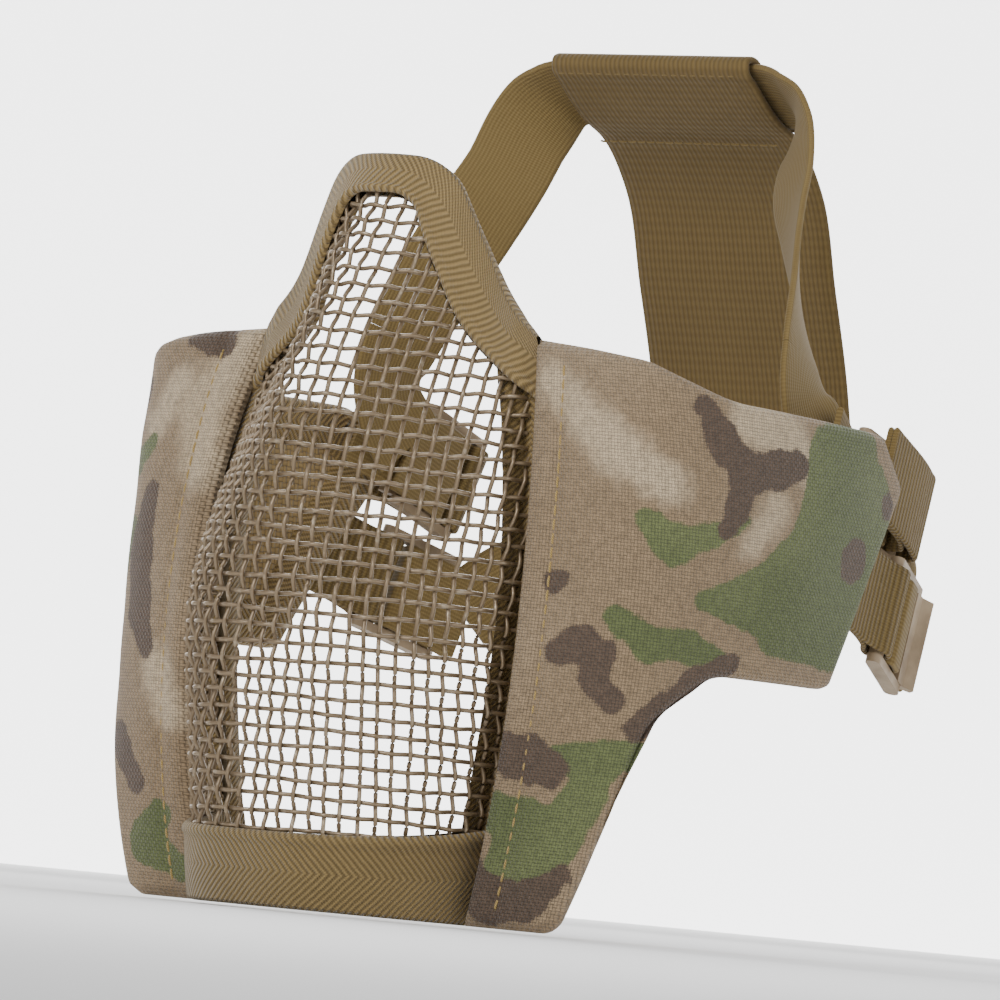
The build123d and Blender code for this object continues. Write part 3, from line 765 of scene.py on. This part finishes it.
inner_points, _, _ = on_panel(U, Z, PANEL_DEPTH - inner_drop + 0.3 * np.clip((INSIDE - 6) / 10, 0, 1))


def ring_of(grid):
    return np.concatenate([grid[0, :-1], grid[:-1, -1], grid[-1, ::-1][:-1], grid[::-1, 0][:-1]])


for side, sign in SIDES:
    fields = {key: blobs(arcs, Z, PATTERN[side][key]) for key in ("brown", "green", "cream")}
    uv = np.stack([arcs, Z], -1)
    rim_out, rim_in = ring_of(outer_points), ring_of(inner_points)
    rim_uv = ring_of(uv)
    rim_fields = {key: ring_of(value[..., None])[:, 0] for key, value in fields.items()}
    steps = np.linspace(0, 1, 4)
    rim = rim_out[None] * (1 - steps)[:, None, None] + rim_in[None] * steps[:, None, None]
    rim = np.concatenate([rim, rim[:, :1]], 1)
    rim_uv3 = np.concatenate([rim_uv, rim_uv[:1]])[None].repeat(4, 0) + (steps * 2.5)[:, None, None]
    rim_f = {k: np.concatenate([v, v[:1]])[None].repeat(4, 0) for k, v in rim_fields.items()}
    face, edge_face = (flip(outer_points, sign), uv, fields), (flip(rim, sign), rim_uv3, rim_f)
    cover = build(f"{side}_cheek_shell", [face, edge_face], CAMO)
    if sign < 0:
        turn_faces(cover)
    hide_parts(f"{side}_cheek_cover", f"{side}_cheek_foam")
    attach(cover, f"{side}_cheek")
    lining = build(f"{side}_cheek_inside", [(flip(inner_points, sign), uv, {})], LINING)
    if sign > 0:
        turn_faces(lining)
    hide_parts(f"{side}_cheek_lining")
    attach(lining, f"{side}_cheek")
    # Edge tape sewn round the inside, behind the front hem.
    inset = np.array([0.0, 0.4, 1.2, 4.5, 7.6, 8.6, 9.0])
    raised = np.array([3.4, 4.6, 5.6, 5.75, 5.6, 5.2, 4.7])
    border = ring_of(GRID)
    sewn = border[:, 0] >= TAPE_FROM
    ahead, behind = np.roll(border, -2, 0), np.roll(border, 2, 0)
    tangent = unit((ahead - behind) * arr(1.35, 1.0))
    inward = np.stack([-tangent[:, 1] / 1.35, tangent[:, 0]], 1)
    lines = [(border + inward * d)[sewn] for d in inset]
    tape_uz = np.stack(lines, 1)
    tape_points, _, _ = on_panel(tape_uz[..., 0], np.clip(tape_uz[..., 1], 0, PANEL_HEIGHT), raised[None])
    along = arc_lengths(tape_points[:, 3])
    tape_uv = np.stack(np.broadcast_arrays(along[:, None], (inset - 4.5)[None]), -1)
    edge = build(f"{side}_cheek_tape", [(flip(tape_points, sign), tape_uv, {})], TRIM_TAPE)
    if sign < 0:
        turn_faces(edge)
    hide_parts(f"{side}_cheek_edge_tape")
    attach(edge, f"{side}_cheek")
    # Topstitch along the front hem.
    z = np.linspace(3.5, 108.5, 240)
    line, _, normals = on_panel(reach_of_edge(z) + HEM / ALONG_CLOTH, z, np.full(len(z), 0.35))
    stitches = build(f"{side}_front_stitches", stitch_row(flip(line, sign), flip(normals, sign)), THREAD,
                     closed=True, caps=True)
    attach(stitches, f"{side}_cheek")

# ---------------------------------------------------------------- buckles, tabs and straps
STRAP_WIDTH, STRAP_THICK, TAB_THICK = 18.0, 1.3, 1.15
LOOP = 3.1
MID_START = LOOP + 0.35 + 1.3 + 0.7
MID_END = MID_START + 3.0
THUMB_START = MID_END + 0.7 + 1.3 + 2.4
THUMB_END = THUMB_START + 4.0
TAIL_LINE = 1.0
MAIN_LINE = TAIL_LINE + 1.3 + 0.15
WRAP_LINE = 2.0
UP_SLOT, DOWN_SLOT = MID_START - 1.0, MID_END + 1.0
THUMB_GAP, TAILS = 4.0, {"upper": 13.0, "lower": 3.5}
LEVELS = {
    "upper": {"way": arr(0.0, -0.93, 0.36), "turn": -1, "dip": radians(20.0), "aside": 5.0, "reach": 14.0},
    "lower": {"way": arr(-0.36, 0.92, 0.0), "turn": 1, "dip": radians(18.0), "aside": 0.0, "reach": 12.5},
}
JOINTS = {j["name"]: j for j in frame["joints"]}


def square_to(v, axis):
    return unit(v - axis * (v @ axis))


for level, facts in LEVELS.items():
    joint = JOINTS[f"left_{level}_buckle_swing"]
    facts["centre"] = np.array(joint["pos_m"], float) / MM
    facts["bar"] = unit(np.array(joint["axis"], float))
    facts["x"] = square_to(facts["way"], facts["bar"])
    facts["z"] = facts["bar"] * facts["turn"]
    facts["y"] = np.cross(facts["z"], facts["x"])
    up = arr(0, 0, 1)
    facts["heading"] = unit(facts["bar"] - up * cos(facts["dip"]))
    facts["out"] = facts["heading"] * cos(facts["dip"]) - up * sin(facts["dip"])
    facts["tab_y"] = np.cross(facts["bar"], facts["out"])

for level, facts in LEVELS.items():
    root, a = -facts["reach"] - 8.0, -facts["aside"]
    if a:
        path = [(root, a + 0.62), (-4.5, a + 0.66), (-2.9, a + 1.3), (-2.5, -1.6), (-2.35, 0.4), (-1.2, 2.1),
                (0.6, 2.4), (2.2, 1.1), (2.5, -1.2), (2.4, a + 1.4), (1.5, a - 0.1), (-1.5, a - 0.62),
                (root, a - 0.62)]
    else:
        path = [(root, 0.62), (-6.2, 0.64), (-3.4, 1.3), (-1.6, 2.2), (0.3, 2.45), (2.0, 1.5), (2.5, 0.0),
                (2.0, -1.5), (0.3, -2.45), (-1.6, -2.2), (-3.4, -1.3), (-6.2, -0.64), (root, -0.62)]
    line = smooth_line(np.array(path), 6)
    centres = facts["centre"] + line[:, :1] * facts["out"] + line[:, 1:] * facts["tab_y"]
    widths = np.repeat(facts["bar"][None], len(centres), 0)
    for side, sign in SIDES:
        loop = strap_grid(flip(centres, sign), flip(widths, sign), STRAP_WIDTH, TAB_THICK)
        tab = build(f"{side}_{level}_loop", [loop], TAB, closed=True, caps=True)
        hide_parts(f"{side}_{level}_tab")
        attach(tab, f"{side}_cheek")
        node = frame["nodes"][f"{side}_{level}_buckle"]
        node.data.materials.clear()
        node.data.materials.append(PLASTIC)

TUNNEL, UPRIGHT = arr(0, 0.8, -0.6), arr(0, 0, 1)
CROWN = arr(0, 81.9, 167.3)
NAPE = arr(0, 122.0, 80.0)
ROUTES = {
    "crown": ("upper", [
        (CROWN + arr(2, 0, 0), TUNNEL), (CROWN + arr(14, 0, 0), TUNNEL), (CROWN + arr(29.2, 0, 0), TUNNEL),
        (arr(32.2, 81.0, 164.6), arr(-0.4, 0.7, -0.55)), (arr(34.4, 79.0, 159.6), arr(-0.7, 0.55, -0.4)),
        (arr(36.5, 76.0, 151.0), arr(-0.85, 0.5, -0.15)), (arr(40.5, 72.5, 141.0), arr(-0.75, 0.65, 0.0)),
        (arr(46.0, 68.5, 128.0), arr(-0.6, 0.8, 0.1)), (arr(50.5, 65.5, 116.0), arr(-0.4, 0.85, 0.3)),
        (arr(53.0, 65.0, 108.0), arr(-0.25, 0.8, 0.5)), (arr(54.2, 67.5, 102.0), arr(-0.1, 0.6, 0.8))], 8),
    "nape": ("lower", [
        (NAPE + arr(2, 0, 0), UPRIGHT), (NAPE + arr(14, 0, 0), UPRIGHT), (NAPE + arr(29.2, 0, 0), UPRIGHT),
        (arr(35.6, 119.1, 78.3), UPRIGHT), (arr(43.0, 113.5, 74.5), arr(0, 0.05, 1)),
        (arr(50.5, 106.5, 69.5), arr(0, 0.1, 1))], 4),
}
for strap, (level, stations, split) in ROUTES.items():
    facts = LEVELS[level]

    def local(x, y):
        return facts["centre"] + facts["x"] * x + facts["y"] * y

    across = facts["z"] if facts["z"] @ stations[-1][1] > 0 else -facts["z"]
    entry = local(THUMB_END + THUMB_GAP, MAIN_LINE)
    centres = [c for c, w in stations] + [entry]
    widths = [unit(w) for c, w in stations] + [across]
    both = smooth_line(np.concatenate([np.array(centres), np.array(widths) * 10.0], 1), 10)
    cut = split * 10
    wrap = fillet_line([(THUMB_END + THUMB_GAP, MAIN_LINE), (UP_SLOT, MAIN_LINE), (UP_SLOT, -WRAP_LINE),
                        (DOWN_SLOT, -WRAP_LINE), (DOWN_SLOT, TAIL_LINE), (THUMB_END + 1, TAIL_LINE),
                        (THUMB_END + TAILS[level], TAIL_LINE - 0.385 * TAILS[level])],
                       [1.3, 0.9, 0.9, 0.9, 6.0], 6)
    wrap_points = facts["centre"] + wrap[:, :1] * facts["x"] + wrap[:, 1:] * facts["y"]
    for side, sign in SIDES:
        runs = [("run", both[:cut + 1], "front", f"{side}_cheek", 20, cut),
                ("end", both[cut:], f"{side}_cheek", f"{side}_{level}_buckle_body", 0, -1)]
        for name, part, a, b, start, end in runs:
            c, w = flip(part[:, :3], sign), flip(unit(part[:, 3:]), sign)
            piece = build(f"{side}_{strap}_{name}", [strap_grid(c, w, STRAP_WIDTH, STRAP_THICK)], STRAP,
                          closed=True, caps=True)
            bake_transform(piece)
            if name == "run" and sign > 0:
                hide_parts(f"{strap}_strap")
        c = flip(wrap_points, sign)
        w = np.repeat(flip(across, sign)[None], len(c), 0)
        piece = build(f"{side}_{strap}_wrap", [strap_grid(c, w, STRAP_WIDTH, STRAP_THICK)], STRAP,
                      closed=True, caps=True)
        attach(piece, f"{side}_{level}_buckle_body")

# Wide rear band, folded back into a hem round each strap.
along, out = arr(0.8, -0.6), arr(0.6, 0.8)
crown2, nape2 = CROWN[1:], NAPE[1:]
band_line = [crown2 + along * 10.6 + out * 2.0, crown2 + along * 6 + out * 1.75,
             crown2 - along * 6 + out * 1.75, crown2 - along * 9.7 + out * 1.5,
             crown2 - along * 10.9, crown2 - along * 9.7 - out * 1.5,
             crown2 - along * 6 - out * 1.75, crown2 + along * 5 - out * 1.6, crown2 + along * 11 - out * 0.2,
             arr(99.8, 151.0), arr(107.3, 132.0), arr(112.9, 117.0), arr(118.0, 100.0), arr(121.4, 91.0),
             arr(120.35, 86.0), arr(120.25, 74.0), arr(120.6, 70.3), arr(122.0, 69.1), arr(123.3, 70.3),
             arr(123.75, 74.0), arr(123.75, 86.0), arr(123.9, 91.5)]
band_line = resample(smooth_line(band_line, 8), 260)
centres = np.stack([np.zeros(len(band_line)), band_line[:, 0], band_line[:, 1]], 1)
widths = np.repeat(arr(1, 0, 0)[None], len(centres), 0)
band = build("rear_band_cloth", [strap_grid(centres, widths, 50.0, 1.35)], BAND, closed=True, caps=True)
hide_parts("rear_band")
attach(band, "rear_band_body")
x = np.linspace(-23.5, 23.5, 60)
rows_of_stitches = []
for place, normal in ((crown2 - along * 9.0 - out * 2.35, -out), (crown2 - along * 9.0 + out * 2.35, out),
                      (crown2 + along * 10.4 - out * 2.55, -out), (nape2 + arr(1.75 + 0.6, 9.7), arr(1, 0)),
                      (nape2 + arr(-1.75 - 0.6, 9.7), arr(-1, 0))):
    line = np.stack([x, np.full(60, place[0]), np.full(60, place[1])], 1)
    up = np.repeat(arr(0, normal[0], normal[1])[None], 60, 0)
    rows_of_stitches += stitch_row(line, up, 2.4, 0.75, 0.22, 0.05)
band_stitches = build("band_stitches", rows_of_stitches, STRAP, closed=True, caps=True)
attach(band_stitches, "rear_band_body")

# ---------------------------------------------------------------- floor, lights and camera
def area_light(name, place, target, power, size, colour=(1, 1, 1)):
    data = bpy.data.lights.new(name, "AREA")
    data.energy, data.size, data.color = power, size, colour
    lamp = bpy.data.objects.new(name, data)
    lamp.location = place
    lamp.rotation_euler = (Vector(target) - Vector(place)).to_track_quat("-Z", "Y").to_euler()
    bpy.context.scene.collection.objects.link(lamp)


FLOOR_LEVEL = -0.0006
floor = bpy.data.meshes.new("floor")
corners = [(x, y, FLOOR_LEVEL) for x, y in ((-6, -6), (6, -6), (6, 6), (-6, 6))]
floor.from_pydata(corners, [], [(0, 1, 2, 3)])
floor_piece = bpy.data.objects.new("floor", floor)
bpy.context.scene.collection.objects.link(floor_piece)
paper = bpy.data.materials.new("paper")
paper.use_nodes = True
paper.node_tree.nodes["Principled BSDF"].inputs["Base Color"].default_value = (0.88, 0.88, 0.88, 1)
paper.node_tree.nodes["Principled BSDF"].inputs["Roughness"].default_value = 0.9
floor.materials.append(paper)

backdrop = bpy.data.meshes.new("backdrop")
azimuth, elevation, roll = radians(40.0), radians(-2.48), radians(5.5)
far = Vector((-sin(azimuth), cos(azimuth), 0)) * 3.0
wide = Vector((cos(azimuth), sin(azimuth), 0)) * 3.5
backdrop.from_pydata([far - wide - Vector((0, 0, 0.1)), far + wide - Vector((0, 0, 0.1)),
                      far + wide + Vector((0, 0, 3)), far - wide + Vector((0, 0, 3))], [], [(0, 1, 2, 3)])
backdrop_piece = bpy.data.objects.new("backdrop", backdrop)
bpy.context.scene.collection.objects.link(backdrop_piece)
glow = bpy.data.materials.new("glow")
glow.use_nodes = True
glow.node_tree.nodes["Principled BSDF"].inputs["Base Color"].default_value = (1, 1, 1, 1)
glow.node_tree.nodes["Principled BSDF"].inputs["Emission Color"].default_value = (1, 1, 1, 1)
glow.node_tree.nodes["Principled BSDF"].inputs["Emission Strength"].default_value = 3.2
backdrop.materials.append(glow)

world = bpy.data.worlds.new("studio")
world.use_nodes = True
world.node_tree.nodes["Background"].inputs[0].default_value = (1, 1, 1, 1)
world.node_tree.nodes["Background"].inputs[1].default_value = 0.55
bpy.context.scene.world = world
focus = (0, 0.04, 0.08)
area_light("key", (0.15, -0.9, 0.75), focus, 8.5, 0.5)
area_light("fill", (1.0, -0.1, 0.35), focus, 3.2, 0.8)
area_light("rim", (-0.6, 0.7, 0.7), focus, 4, 0.6)

target = Vector((0, 0.040, 0.083))
back = Vector((sin(azimuth) * cos(elevation), -cos(azimuth) * cos(elevation), sin(elevation)))
level_right = Vector((cos(azimuth), sin(azimuth), 0))
level_up = level_right.cross(-back)
right = level_right * cos(roll) + level_up * sin(roll)
up = level_up * cos(roll) - level_right * sin(roll)
camera_data = bpy.data.cameras.new("camera")
camera_data.sensor_width = 36.0
camera_data.lens = 329.9
camera_data.clip_end = 20.0
camera = bpy.data.objects.new("camera", camera_data)
turn = Matrix((right, up, back)).transposed().to_4x4()
camera.matrix_world = Matrix.Translation(target + back * 1.785) @ turn
bpy.context.scene.collection.objects.link(camera)
bpy.context.scene.camera = camera
